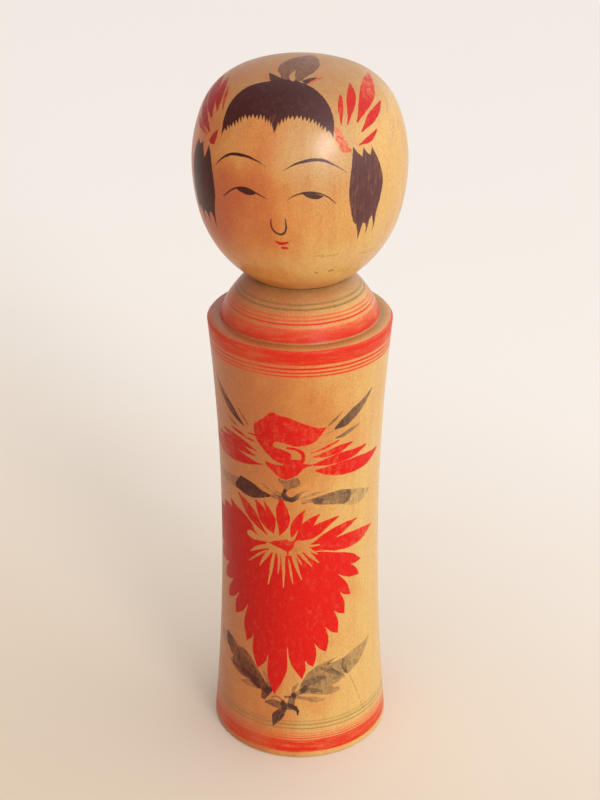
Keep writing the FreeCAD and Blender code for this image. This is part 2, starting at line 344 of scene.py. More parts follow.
def torso_paint():
    """Dye on the torso: chart "T" is distance round the front against height."""
    red, ink = [], []

    def pull(course, load=1.0, fade=None):
        red.append(Stroke("T", course, load, fade))

    def leaf(course, load, fade=None):
        ink.append(Stroke("T", course, load, fade))

    def fill(marks, start, sides, load, grain):
        marks.append(Patch("T", start, sides, load, grain))

    # upper flower: a cap petal folded over a swirl, with a cup of petal under it
    fill(red, (14.4, 132.7), [[(13.3, 131.2), (11.6, 128.7), (9.5, 127.1), (6.6, 126.3),
        (3.6, 126.3), (1.3, 127), (-1.1, 127.5), (-2.4, 127.4), (-2.9, 126.4), (-2.7, 125.4),
        (-1.1, 125), (1.3, 124.3), (2.9, 123.2), (3.1, 122), (2.5, 121)], [(2.6, 119.4)],
        [(-0.2, 119.4), (-2.2, 120.1), (-4.3, 121.6), (-6.1, 123.5), (-8.1, 125.9), (-9, 127.7),
        (-9.6, 130.6), (-9.3, 132.8), (-7.2, 134.6), (-5.2, 136.3), (-4.2, 137.6), (-2.8, 138.2),
        (-1, 137.4), (1.9, 136.8), (4.8, 135.6), (8.4, 134), (11.3, 132.9)]], 0.92, (1, 0.25))
    pull([(1.7, 125.5, 0.8), (4.4, 125.1, 1.1), (6.3, 123.9, 1.3), (6.75, 122, 1.2),
          (6, 120.4, 1.7), (2.6, 120.2, 2.2)], 0.95)
    fill(red, (-6.1, 119.5), [[(-2.2, 118.8), (0.2, 118.85)], [(0.5, 119.5), (3, 119.9),
        (6.2, 119.9), (7.8, 119.6), (10.4, 119.1)], [(7.8, 118.4), (6.3, 117.1), (4.8, 115.3),
        (2.8, 114.1), (0.8, 113.4), (-1.4, 114.4), (-3.4, 116.2), (-5.2, 117.9)]], 0.9, (0.3, -1))
    pull([(-8.4, 128.3, 0.8), (-10.4, 128.35, 0.6), (-12, 128.2, 0.2)], 0.9)
    pull([(9, 124.7, 0.2), (10.6, 125.4, 0.45), (12.3, 126.4, 0.15)], 0.6)
    pull([(9.2, 123.7, 0.3), (12.5, 124.5, 0.8), (15.6, 125.7, 1.3), (18.4, 126.9, 0.6)], 0.85)
    pull([(10.3, 122.1, 0.4), (13.6, 122.5, 2), (18.5, 123.6, 3), (21.2, 124.3, 1.9),
          (23.7, 124.9, 0.5)], 0.84, 0.98)
    pull([(10.3, 119.1, 0.6), (14.5, 119.7, 2.8), (19.5, 120.4, 3.9), (24.5, 120.6, 3),
          (29.5, 121.5, 0.7)], 0.86, 1.0)
    pull([(11.2, 116.8, 0.8), (15, 116.3, 3.3), (20, 116, 5.1), (25.5, 115.95, 5.6),
          (30.6, 115.9, 4.4), (35.8, 116.8, 0.9)], 0.88, 1.0)
    pull([(-9.2, 125.8, 0.3), (-11, 126.1, 1), (-12.7, 126.2, 0.4)], 0.9)
    pull([(-13, 126.6, 0.4), (-16, 127.3, 1.3), (-19, 128, 0.6)], 0.9)
    pull([(-8.9, 122.4, 0.3), (-13, 123.7, 2), (-18.2, 124.7, 2.6), (-23.2, 125.4, 0.7)], 0.95,
          0.8)
    pull([(-9.5, 120.4, 0.3), (-14, 121.5, 2.5), (-20, 122.3, 3.7), (-26.6, 122.4, 1.2)], 0.95,
          0.8)
    pull([(-7.4, 117.8, 0.3), (-12.5, 117.75, 2.8), (-18, 118.1, 5.2), (-24.5, 118.4, 6.2),
          (-30.2, 118.6, 1.6)], 1.0, 0.72)

    # leaves round the upper flower, its cup and stem
    leaf([(17.5, 131.8, 0.9), (20.4, 133.3, 3.4), (24, 135.9, 3.8), (27.6, 138.5, 2.5),
          (31.3, 142, 0.3)], 0.92, 0.62)
    leaf([(13, 129.8, 0.2), (15, 130.5, 0.6), (17.2, 131.1, 0.5)], 0.4)
    leaf([(14.8, 133.1, 0.4), (17, 135, 1), (19.4, 137.4, 0.3)], 0.66)
    leaf([(17.4, 128, 0.3), (20, 128.6, 1.5), (22.6, 129.6, 1.7), (26.3, 130.8, 0.3)], 0.74, 0.6)
    leaf([(-13.7, 130.7, 0.5), (-17.2, 133.5, 2.5), (-20.2, 136.4, 2.8), (-23.5, 140, 2.2),
          (-26.5, 143.7, 0.3)], 0.85, 0.6)
    leaf([(-11.6, 131.2, 0.3), (-13.5, 133.7, 1), (-15.4, 136.2, 0.3)], 0.6)
    leaf([(-16, 129.3, 0.3), (-18.5, 130.3, 1.4), (-21, 131.8, 0.3)], 0.5)
    fill(ink, (-1.4, 113.9), [[(1, 113.1), (4.6, 114.6)], [(5.7, 113.4), (5.8, 111.4)],
        [(4, 110.6), (2.4, 109.9), (1.2, 108.6)], [(0.2, 108.6)], [(0.3, 110.4), (-0.4, 111.7),
        (-1.3, 112.4)]], 0.58, (0.4, 1))
    leaf([(0.75, 109.4, 1.1), (0.5, 107.6, 1.6), (1.4, 106.3, 2), (3, 105.8, 1.8)], 0.78)
    leaf([(3, 105.8, 1.8), (4.4, 106.8, 1.9), (5.7, 108.3, 1), (8.6, 109.6, 0.2)], 0.8, 0.4)
    leaf([(6.4, 104.65, 0.5), (7.1, 104.7, 0.7), (7.9, 104.7, 0.4)], 0.5)
    leaf([(5.4, 106.2, 0.3), (9.6, 107.8, 1.3), (14.9, 108.9, 0.2)], 0.45)
    fill(ink, (9.6, 106.2), [[(12, 106.9), (16, 107.6), (20, 107.9), (23.4, 107)], [(23.7, 104.6),
        (22.6, 102.4)], [(20, 102.2), (17, 102.9), (14, 103.4), (10.6, 104)], []], 0.64, (1, 0))
    leaf([(6.4, 105.6, 0.4), (9.4, 105.4, 1.7), (12.6, 105.2, 2.4)], 0.36)
    fill(ink, (21.8, 107.4), [[(24.4, 106.7), (28, 105.4), (32.8, 103.4)], [(29.8, 101),
        (27, 100.1), (24, 100.5), (20.6, 102)], [(22.4, 104.4)]], 0.4, (1, -0.2))
    fill(ink, (-15.8, 110.7), [[(-13, 110.3), (-10.2, 109.6), (-8, 108.3), (-4.4, 106.9)],
        [(-4.6, 105.9)], [(-8, 104.8), (-11, 104), (-14.4, 104.2), (-17.8, 105.3)],
        [(-18.2, 106.6), (-17.2, 108.2)]], 0.9, (1, -0.1))
    leaf([(-16, 107.4, 4.8), (-20, 107, 4), (-24, 106.7, 3.2), (-28.4, 107, 1.2)], 0.55, 0.3)
    leaf([(-5.6, 106.6, 0.6), (-3, 106.6, 1.4), (-0.6, 106.2, 1.9), (1.4, 105.9, 1.6)], 0.6)
    leaf([(-7.4, 110.8, 0.3), (-4.6, 108.8, 1.1), (-1, 106.8, 0.9)], 0.45)
    leaf([(-3.4, 109.4, 0.2), (-0.4, 107.6, 0.8), (1, 106.8, 0.5)], 0.5)

    # lower flower: the full head of petals, then the separate ones that stand up from it
    edge = petal_row((12.5, 86), [
        (20.4, 83.2), (28.9, 77.1), (24.4, 76.9), (28, 71.2), (19.2, 74.6), (24.3, 64.6),
        (19.9, 67.1), (21.8, 57.7), (17.7, 60.1), (19.1, 50.4), (14.6, 54.1), (14.8, 43.8),
        (10.8, 47.9), (10.2, 38.2), (7.4, 41.3), (6.4, 33.2), (1.4, 46.9), (-3, 25.6), (-5, 42.8),
        (-9.2, 35.2), (-10.9, 48.8), (-13.9, 44.8), (-13.4, 60), (-19.2, 53.5), (-17.4, 63.2),
        (-23.4, 57.9), (-20.4, 66.9), (-25.3, 65.4), (-22.8, 72.4), (-27.6, 71.4), (-26.4, 78),
        (-30.2, 77), (-28.4, 82.6), (-31.4, 84.2), (-28.8, 88.4), (-31, 91.4), (-25.4, 93),
        (-25.2, 96), (-20.4, 96), (-21.3, 99.4),
    ], 0.09)
    fill(red, (12.5, 86), edge + [
        [(-18, 97.7), (-15.2, 96.6), (-12.2, 94.6), (-10.4, 91.6), (-8.6, 89.3)], [(8.5, 89.5)],
        []], 1.0, (-0.1, -1))
    for course in (
        [(-0.5, 105.2, 1.3), (-0.35, 101.8, 4.1), (0.1, 98.4, 4.8), (-0.1, 95.2, 3.4),
         (-1.1, 91.7, 0.3)],
        [(-6.7, 104, 0.3), (-5.2, 101, 1.6), (-3.9, 98, 2.6), (-3.1, 95, 2.3), (-3.4, 92.2, 0.4)],
        [(-9.6, 103.3, 0.7), (-7.8, 100.3, 3.2), (-6.3, 97, 4.2), (-4.9, 94.4, 2.6),
         (-3.4, 92.3, 0.4)],
        [(-17, 103.4, 0.4), (-14, 100.5, 3.2), (-11.3, 97.3, 4.4), (-9, 94.5, 2.6),
         (-5.6, 91, 0.3)],
        [(7.2, 101.7, 0.5), (5.6, 98.9, 2.5), (4.5, 96.1, 3.6), (3.6, 93.6, 2.6), (3, 91.4, 0.4)],
        [(12.2, 99.8, 0.5), (9.9, 97.7, 2.6), (7.7, 95, 4.2), (6, 92.4, 4.2), (4.6, 90, 1.6)],
        [(19, 97.7, 0.5), (15.2, 96.1, 2.6), (11.6, 94, 4.4), (8.4, 91.8, 3.6), (5.6, 90.2, 0.8)],
    ):
        pull(course, 0.9, 1.0)
    pull([(26.4, 94.3, 0.4), (22.2, 93.2, 3), (18, 91.7, 4.2), (14.2, 89.9, 4), (10.2, 88, 1.6)],
          0.85, 1.0)
    pull([(33.6, 88, 0.9), (28.2, 87.2, 5.2), (22.2, 87, 6.2), (16.4, 87.2, 4.4),
          (10.8, 87.6, 1.6)], 0.85, 1.0)
    red.append(Lift(Patch("T", (-11.9, 94.6), [[(-10.2, 91.7), (-8.7, 89.5)], [(-11.6, 90.8),
        (-13.2, 90.2), (-13.2, 88.8), (-11.6, 87.8), (-9, 87.9), (-5.6, 88.3)], [(-5.8, 86.8),
        (-3.8, 84.7), (0, 84), (3, 84), (5.6, 84.8), (8.4, 86.6), (9.2, 88.8), (7.2, 89.9),
        (3.4, 90.2)], [(-1, 91.2), (-5.6, 90.8)], [(-9.2, 92.6)]])))
    red.extend(Lift(Stroke("T", course)) for course in (
        [(-4.5, 87, 1.6), (-8.9, 85, 1.5), (-12, 82.6, 0.3)],
        [(-6, 84.6, 0.6), (-9.2, 82, 0.8), (-12.9, 78.3, 0.2)],
        [(-4, 85.6, 1.4), (-6.4, 82, 1.4), (-8.4, 78.1, 0.3)],
        [(-3, 85.4, 0.8), (-4, 79, 1.3), (-5.3, 71.3, 0.2)],
        [(-1.6, 85, 0.7), (-1.4, 80.6, 0.9), (-1.8, 76.4, 0.2)],
        [(-0.2, 86, 1.8), (0.15, 79, 1.1), (0.1, 71, 0.2)],
        [(1.9, 83, 0.4), (2.5, 78.4, 0.9), (3.3, 72.9, 0.2)],
        [(3.2, 86, 1.6), (4.4, 80.4, 1.4), (6.3, 74.4, 0.2)],
        [(4.6, 84, 0.5), (5.4, 82.3, 0.7), (6.6, 80.2, 0.2)],
        [(4.8, 86.4, 1.4), (7.2, 83.2, 1.3), (9.7, 79.7, 0.3)],
        [(6.2, 88, 1.8), (9, 84.4, 1.7), (12.1, 81, 0.3)],
        [(7, 88, 1.4), (9.4, 86, 1.2), (11.6, 84.4, 0.3)],
        [(7, 88.6, 1.4), (9.6, 87.8, 1), (12.3, 88, 0.4)],
        [(7, 89.6, 1), (10.4, 90.3, 0.9), (14, 92.6, 0.5), (18.6, 96, 0.3)],
        [(11.2, 85.5, 0.3), (15, 85, 0.6), (20.6, 83.2, 0.3)],
        [(-2.4, 92, 1.5), (-2.3, 94.6, 0.7), (-2.4, 98, 0.1)],
        [(3.4, 90, 0.9), (4.3, 92.2, 0.6), (5, 94, 0.1)],
    ))
    fill(red, (-5.4, 88), [[(-2.4, 89.3), (0.7, 90.15), (2.4, 89.8), (4.2, 90)], [(3.6, 87.6),
        (2.8, 86.2), (1.6, 85.3)], [(-0.8, 86.4), (-3, 87.2)]], 0.95, (1, 0))
    pull([(1.5, 85.8, 0.7), (1.7, 83.8, 0.5), (2.3, 82, 0.3)])
    pull([(3.7, 89.6, 0.8), (4.6, 90.4, 0.9), (5.6, 91.2, 1)])

    # leaves under the lower flower and the knot that ties them
    fill(ink, (-23.6, 43.6), [[(-20.2, 42.2), (-17.6, 40.4)], [(-15.2, 40.9), (-13, 39.8),
        (-11, 37.6), (-9, 34.8), (-7.2, 31.8), (-5.4, 28.4)], [(-4.6, 26.8), (-5, 25.4)],
        [(-8, 26.2), (-11.4, 28.3)], [(-13.6, 28.9), (-16.2, 29), (-19.2, 30.4), (-21.6, 32.2)],
        [(-20.2, 34.6)], [(-22.4, 36.6), (-24, 39.6)]], 0.64, (-1, 0.8))
    leaf([(-5.6, 27, 2.6), (-9.6, 30.6, 5.6), (-14, 34.2, 6.6), (-18.8, 38.4, 3)], 0.46, 0.24)
    leaf([(-9.6, 29.8, 1.8), (-14, 30.9, 3), (-19.6, 32.2, 1.4)], 0.4)
    leaf([(-22.4, 40, 5.6), (-25.4, 39.8, 4.8), (-28.6, 39.6, 2.4)], 0.42, 0.28)
    leaf([(-9.4, 27.6, 2.6), (-12.4, 27.4, 2.8), (-15.6, 26.8, 0.7)], 0.52)
    leaf([(-4.4, 27.8, 2.2), (-5.2, 31.4, 2.2), (-7.1, 34.6, 0.5)], 0.6, 0.45)
    leaf([(-4.9, 27.4, 2.6), (-6.1, 25.6, 2.7), (-6.8, 23.7, 1.9)], 0.78)
    fill(ink, (5.6, 29.6), [[(6.6, 32.6), (8.4, 35.8), (10.6, 37.8), (13.4, 39.3), (18.8, 40.8)],
        [(16.6, 39.2), (15.4, 37.6)], [(18.6, 34.8), (22, 31.5)], [(19.4, 30.2), (16.6, 29.2)],
        [(17.8, 28.1), (19.5, 27.7)], [(19.2, 26.4), (17.4, 25.7), (14, 25.8), (10.2, 26.7),
        (6.2, 27)], []], 0.54, (1, 0.5))
    fill(ink, (20.8, 39.3), [[(25, 41), (29, 41.6), (33.4, 42.7)], [(30.6, 38.4), (28.4, 35.6),
        (25.6, 33.4), (22.6, 31.9)], [(21.2, 33.8), (20.4, 36.6)]], 0.52, (1, 0.8))
    fill(ink, (14.4, 38.9), [[(17.6, 38.9), (21.2, 39.4)], [(20.8, 36), (22.8, 32.1)],
        [(18, 34.6)]], 0.46, (1, 0.8))
    leaf([(12.8, 37.4, 1), (16.4, 35.2, 2), (20.8, 32.3, 0.9)], 0.34)
    leaf([(20.9, 38.4, 1), (21.2, 35.8, 1.8), (22.5, 32.8, 0.6)], 0.26)
    leaf([(7, 31, 2.2), (10.6, 32.6, 3.6), (14.4, 33.2, 0.8)], 0.34)
    leaf([(6.2, 28.5, 1.8), (9.6, 28.5, 2.2), (13, 27.6, 0.8)], 0.36)
    leaf([(3.6, 26.4, 1.8), (6, 27.9, 1.9), (7.6, 29.6, 1.8)], 0.55)
    leaf([(3.4, 26.6, 1), (3.8, 29.3, 1.3), (5.1, 31.6, 0.4)], 0.5)
    leaf([(3.8, 25.7, 1.4), (7.4, 25.1, 1.3), (10.6, 24.3, 2.5), (13.8, 23.8, 0.7)], 0.48)
    leaf([(-5.8, 21.8, 0.8), (-3.4, 22.1, 3), (-1, 21.6, 3.2), (1.6, 21.5, 3), (4, 21, 2)], 0.7)
    leaf([(4, 20.9, 1.7), (4.9, 19.8, 1.2), (4.95, 18, 0.4)], 0.9)
    leaf([(0.1, 23.4, 1.2), (0.3, 21.6, 2.4), (0.6, 19.8, 1.6)], 0.7)
    leaf([(-4, 24.2, 0.4), (-2.4, 25.2, 0.8), (-0.9, 24.5, 0.8), (0.3, 22.8, 0.8)], 0.6)
    leaf([(0.9, 25.5, 1.1), (2.2, 25.6, 1.1)], 0.7)
    leaf([(3.7, 26.6, 1.6), (3, 24.4, 2.3), (2.7, 22, 2.4)], 0.66)
    leaf([(0.5, 20.4, 0.9), (-0.7, 18.6, 3), (-2, 16.4, 3.8), (-3.2, 12.6, 0.3)], 0.86)
    scratch = [
        Stroke("T", [(23.6, 31, 0), (26, 24, 0), (29.2, 13.6, 0)]),
        Stroke("T", [(11, 60, 0), (8, 63.6, 0), (5.4, 66.4, 0)]),
    ]
    return {"red": red, "ink": ink, "scratch": scratch}


def fringe():
    """The painted hair over the forehead, its lower edge cut into small uneven teeth."""
    tooth_width, tooth_depth, notch_lift = (0.95, 1.5), (0.9, 1.6), (0.0, 0.5)
    tip_place, plain_end = 0.55, 1.9
    top = [(16.3, -26.5), (13.6, -22.4), (9.8, -19), (4.8, -16.1), (0, -15), (-5.6, -15.4),
           (-10.4, -16.2), (-13.4, -17.3), (-16.6, -19.6), (-19.2, -22.8), (-21.1, -26.2),
           (-22.6, -29.8)]
    hem = [(-20.6, -28.1), (-16.5, -28), (-12.5, -27.2), (-8.6, -27.7), (-5.4, -28.9),
           (-3.4, -30.4), (-2.4, -32.2), (-1.7, -33.3), (-1.2, -30.8), (0.8, -29.4), (3.4, -28.1),
           (7, -27.9), (10.6, -28.1), (13.4, -28.7), (16, -29.6)]
    edge = curve_through(hem, per_span=16)
    walk = np.concatenate([[0], np.cumsum(np.hypot(*np.diff(edge, axis=0).T))])
    chance = np.random.default_rng(4)

    def on_hem(along, lift):
        return np.interp(along, walk, edge[:, 0]), np.interp(along, walk, edge[:, 1]) + lift

    sides = [top, [(-21.6, -28.9), hem[0]]]
    place = 0.0
    while place < walk[-1] - plain_end:
        pitch = chance.uniform(*tooth_width)
        tip = on_hem(place + pitch * tip_place, -chance.uniform(*tooth_depth))
        place += pitch
        sides += [[tip], [on_hem(place, chance.uniform(*notch_lift))]]
    sides.append([(16.6, -29.8)])
    return Patch("K", (17.6, -31), sides, 0.93, (0.25, 1))


def side_hair(start, sides, flip, load):
    """Hair in front of an ear; flip -1 puts it on the doll's right."""
    def mirror(points):
        return [(u * flip, v) for u, v in points]

    return Patch("H", mirror([start])[0], [mirror(side) for side in sides], load, (0.12 * flip, 1))


def head_paint():
    """Dye on the head: chart "K" is the head seen from above, with lengths kept true from the
    crown outward; chart "H" is distance round the front against height."""
    red, ink = [], [fringe()]

    def pull(course, load, fade=None, chart="K"):
        red.append(Stroke(chart, course, load, fade))

    def hair(course, load=1.0):
        ink.append(Stroke("H", course, load))

    def fill(marks, start, sides, load, grain):
        marks.append(Patch("K", start, sides, load, grain))

    # top-knot, with the little leaves at its root
    fill(ink, (-2.8, -14.6), [[(-3.2, -12.4), (-4.5, -9.9), (-4.8, -6.6), (-3.9, -3.2),
        (-1.9, 0.6), (0.6, 3.6), (2.4, 6)], [(4.8, 2.6), (6.1, -1.2), (6.7, -5.3), (6.1, -9.1),
        (4.8, -11.7), (3.4, -14.8)], [(0, -16.4)]], 0.66, (0.1, 1))
    ink.append(Lift(Stroke("K", [(0.5, -9.6, 0.3), (0.2, -12, 1.5), (0.6, -14, 1.7),
                                 (0.9, -15, 0.8)])))
    fill(ink, (-7.1, -10.4), [[(-5.2, -12), (-3.2, -13.6), (-1.5, -15)], [(-5.6, -15.8)],
        [(-6.5, -13)]], 0.85, (-1, 1))
    fill(ink, (7.6, -11.6), [[(5.4, -12.9), (3.4, -15)], [(5, -16.3)], [(6.7, -13.8)]], 0.85,
        (1, 1))
    pull([(-8, -11.8, 0.3), (-7.2, -13.6, 0.8), (-5.9, -15.2, 0.5)], 0.6)
    pull([(8.9, -11, 0.4), (7.4, -13.2, 1.1), (5.6, -16.1, 0.7)], 0.6)
    pull([(-7.8, -4.8, 0.5), (-6, -7.8, 1), (-3.9, -10.9, 0.3)], 0.3)
    pull([(8.3, -0.8, 0.5), (8, -4, 1.2), (7.2, -7.9, 0.4)], 0.26)
    pull([(-6.6, 5, 0.5), (-5.8, 1, 1.6), (-5.4, -2.4, 0.4)], 0.2)

    # ornaments beside the fringe
    pull([(15.6, -17, 0.7), (16.3, -19.4, 1.8), (17.2, -22.2, 1.8), (18.5, -25.7, 0.3)], 0.94)
    pull([(17, -10, 0.5), (18.4, -14, 2.9), (19.3, -18, 3.1), (20.5, -24.4, 0.3)], 1.0)
    pull([(20.4, 4, 0.5), (21.6, -3, 3.8), (22.6, -9, 5.2), (23, -15, 3.9), (23.2, -21.6, 0.5)],
          0.72, 1.0)
    pull([(27.4, -8, 0.5), (27.5, -12.5, 2.5), (26.9, -17, 3.3), (25.9, -23.2, 0.4)], 0.97)
    pull([(30.4, -18.2, 0.6), (29.9, -21.6, 1.9), (28.8, -24.2, 1.7), (26.9, -27.2, 0.3)], 0.95)
    pull([(17.4, -27.8, 1.5), (18.6, -28.5, 2.2), (20.2, -29, 1.5)], 0.66)
    pull([(18.8, -30, 1.5), (20.4, -30.2, 2.4), (22.4, -29.9, 1.7)], 0.7)
    pull([(20.9, -31.8, 1.2), (22.4, -31.6, 1.9), (24.4, -30.6, 1.3)], 0.64)
    pull([(-19.3, -13.4, 0.5), (-19.9, -17, 1.5), (-20.8, -22, 0.4)], 0.8)
    pull([(-20.6, -7, 0.5), (-21.8, -12, 3.2), (-22.4, -16, 3.2), (-23, -20.4, 0.4)], 0.9)
    pull([(-24, 0.5, 0.6), (-25.2, -5, 4.2), (-25.8, -11, 4.8), (-26, -16, 3.4),
          (-26.2, -20.4, 0.5)], 0.85, 0.95)
    pull([(-29.4, -5, 0.6), (-30.3, -11, 3), (-30, -17, 3.4), (-28.2, -24.6, 0.4)], 0.9)
    pull([(-33.8, -12, 0.6), (-33.4, -16.4, 2), (-31.6, -20.8, 1.8), (-29.6, -24.6, 0.3)], 0.8)
    fill(red, (-29.4, -27.1), [[(-26.4, -26.7), (-23.3, -26.8)], [(-24.8, -28.7), (-26.6, -30.1)],
        [(-28.4, -28.9)]], 0.97, (1, -0.4))
    fill(red, (-21.4, -8), [[(-24.6, -1.6), (-28.6, -2.6), (-32.4, -9.6)], [(-32.4, -17),
        (-28.2, -25)], [(-23.4, -21), (-21, -14)]], 0.34, (0.1, 1))

    # hair at the temples
    ink.append(side_hair((23, 224.4), [[(24.6, 222.5), (25.9, 221.1)], [(26.7, 223.8)],
        [(27.8, 222.2), (28.95, 221.1)], [(30, 223.4)], [(31.7, 219.8), (32.9, 215.9),
        (33.3, 212.4), (32.6, 208.2), (31.5, 204.1), (31.2, 200.4), (30.95, 196.8)], [(30.5, 200),
        (29.6, 202.6)], [(28.8, 201.3), (28.1, 196.2)], [(27.6, 200), (26.4, 201)], [(25.9, 198.8),
        (25.3, 195)], [(24.6, 198.8), (23.8, 201.1)], [(22.9, 201.8), (21.7, 205.5), (20.9, 210),
        (21, 214.1), (21.7, 218.2), (22.4, 221.8)]], 1, 0.84))
    ink.append(side_hair((26.2, 221.9), [[(27, 219.6), (27.9, 217.6)], [(30.2, 222.1)],
        [(31, 221.2), (31.8, 220.8)], [(33.9, 222)], [(35.6, 218), (36.5, 212.6), (36.4, 207.4),
        (35.2, 202.4), (34.4, 198)], [(33.6, 200.6), (32.6, 201.2)], [(31.6, 199.6), (31, 196.4)],
        [(30, 200.2), (28.6, 200.6)], [(27.8, 199.6), (27.2, 197.2)], [(26.4, 200.8), (25, 201.4)],
        [(24.2, 199.4), (23.8, 196)], [(22.9, 202.7), (22.1, 206.4), (22, 210.5), (23.1, 215.2),
        (24.6, 219.4)]], -1, 0.95))

    # brows, eyes, nose and mouth
    hair([(-22.1, 216.7, 0.15), (-19.2, 219.6, 0.5), (-16, 221.4, 0.85), (-12.8, 221.9, 0.95),
          (-9.6, 221.7, 0.75), (-6.4, 220.8, 0.4), (-3.6, 219.5, 0.1)])
    hair([(1.4, 218.9, 0.15), (4.9, 220.8, 0.5), (7.8, 221.65, 0.8), (10.8, 221.95, 0.95),
          (13.8, 221.4, 0.75), (17.2, 219.7, 0.4), (20.4, 217.4, 0.12)], 0.85)
    hair([(-18.2, 208.6, 0.3), (-15.3, 210.9, 0.5), (-12.8, 212.2, 0.6), (-10.4, 212.65, 0.65),
          (-7.9, 212.2, 0.55), (-5.4, 211.1, 0.4), (-3.2, 210.2, 0.1)])
    hair([(-13.1, 212, 0.3), (-11.5, 211.85, 1.4), (-9.8, 211.6, 1.95), (-8.1, 211.45, 1.45),
          (-6.7, 211.5, 0.3)])
    hair([(2.6, 210.3, 0.2), (4.6, 211.6, 0.45), (7, 212.45, 0.55), (9.5, 212.7, 0.6),
          (12.2, 212.1, 0.55), (14.5, 210.9, 0.45), (16.8, 208.8, 0.15)])
    hair([(7.2, 212.2, 0.3), (8.6, 211.85, 1.4), (10.1, 211.5, 1.9), (11.6, 211.25, 1.4),
          (12.9, 211.3, 0.3)], 0.85)
    hair([(-2.25, 204, 0.3), (-2.4, 201.9, 0.55), (-1.45, 200.1, 0.68), (0.3, 199.2, 0.7),
          (1.6, 199.9, 0.68), (2.25, 201.8, 0.58), (2, 204.3, 0.4)], 0.84)
    pull([(-1.1, 196.6, 0.7), (0, 196.1, 1.2), (1.2, 196.15, 1.1), (2.5, 196.5, 0.7)], 1.0,
          chart="H")
    pull([(0.7, 194.6, 0.9), (2.1, 194.5, 0.85)], 1.0, chart="H")

    # dents and scratches of long handling
    hair([(17.4, 184.7, 0.4), (18.4, 185, 0.9), (19.4, 184.9, 0.5)], 0.6)
    hair([(12.2, 184.8, 0.6), (13, 184.6, 0.6)], 0.45)
    scratch = [
        Stroke("K", [(33, -6, 0), (36, -9.5, 0), (37.4, -13.5, 0)]),
        Stroke("K", [(35, -2, 0), (37.6, -6, 0)]),
        Stroke("K", [(27, -2, 0), (29.6, -5, 0), (31, -9, 0)]),
        Stroke("H", [(12, 191.6, 0), (16, 191.2, 0), (21.6, 191.9, 0)]),
        Stroke("H", [(28, 190.2, 0), (32, 189.4, 0), (36, 189.9, 0)]),
    ]
    return {"red": red, "ink": ink, "scratch": scratch}


# radii that distance round the front is counted on
TORSO_REF, HEAD_REF = 30.0, 32.8
# how the charts' heights, and lengths from the crown, are scaled and shifted
TORSO_RISE, TORSO_SAG, TORSO_SHIFT = 1.0632, 0.0002615, -0.6
HEAD_RISE, HEAD_SHIFT = 0.9735, 7.2
CROWN_RISE, CROWN_SHIFT = 0.96, 0.43
# how much narrower the torso is than in its chart, least at one height
LEAN_LEAST, LEAN_GROWTH, LEAN_MIDDLE = 0.916, 5.3e-6, 80
# where the hidden parts go: far off the charts
HIDDEN_HEIGHT, HIDDEN_REACH = -50, 200


def torso_chart(angle, height):
    """Where a place on the torso lies in the chart of its painting, which was measured from the
    camera's side and on a slightly stouter body."""
    seen = np.clip(angle - TURN, -math.pi / 2, math.pi / 2)
    lean = LEAN_LEAST + LEAN_GROWTH * (height - LEAN_MIDDLE) ** 2
    round_front = TURN + np.arcsin(np.clip(lean * np.sin(seen), -1, 1)) + (angle - TURN - seen)
    chart_height = TORSO_RISE * height - TORSO_SAG * height ** 2 + TORSO_SHIFT
    return np.stack([TORSO_REF * round_front, chart_height], 1)


def chart_spots(piece, angle, along, section):
    """The same places on the surface in each chart's own coordinates."""
    neck_rim = {"torso": 5, "head": 1}[piece]
    outside = along < section.corners[neck_rim]
    height = np.where(outside, section.height(along), HIDDEN_HEIGHT)
    if piece == "torso":
        return {"T": torso_chart(angle, height)}
    reach = CROWN_RISE * np.where(outside, along, HIDDEN_REACH)
    return {"H": np.stack([HEAD_REF * angle, HEAD_RISE * height + HEAD_SHIFT], 1),
            "K": np.stack([reach * np.sin(angle), CROWN_SHIFT - reach * np.cos(angle)], 1)}


def measure(mark, spots):
    """Distance, across and along for the spots near a mark; the rest are far away."""
    here = spots[mark.chart]
    near = np.all((here > mark.low) & (here < mark.high), axis=1)
    distance = np.full(len(here), FAR)
    across = np.zeros(len(here))
    along = np.zeros(len(here))
    if near.any():
        distance[near], across[near], along[near] = mark.measure(here[near])
    return np.clip(distance, -FAR, FAR), across, along, near


def edge_distance(paint, spots):
    """How far each spot is from the nearest edge of any mark."""
    nearest = np.full(len(next(iter(spots.values()))), FAR)
    for marks in paint.values():
        for mark in marks:
            distance = measure(mark.mark if isinstance(mark, Lift) else mark, spots)[0]
            nearest = np.minimum(nearest, np.abs(distance))
    return nearest


def blend_marks(marks, spots):
    """Joins the marks of one colour: edge distance (positive inside), load and brush direction."""
    soft, seam, apart = 0.3, 0.2, 3.7
    count = len(next(iter(spots.values())))
    edge = np.full(count, FAR)
    load = np.zeros(count)
    flow = np.zeros((count, 3))
    for number, mark in enumerate(marks):
        if isinstance(mark, Lift):
            edge = np.maximum(edge, -measure(mark.mark, spots)[0])
            continue
        distance, across, along, near = measure(mark, spots)
        tone = np.zeros(count)
        if near.any():
            tone[near] = mark.tone(along[near])
        closer = distance < edge
        both = 1 - (1 - load) * (1 - tone * np.clip(0.5 - distance / soft, 0, 1))
        only = np.where(closer, np.maximum(tone, load * (edge < seam)), load)
        load = np.where(edge < 0, both, only)
        flow[closer] = np.stack([across, along, np.full(count, number * apart)], 1)[closer]
        edge = np.minimum(edge, distance)
    return -edge, np.clip(load, 0, 1), flow


# ------------------------------------------------------------------ turned surfaces

# faces split while an edge of the painting lies within this share of their diagonal
SPLIT_REACH = 0.56
WELD = 1e-6


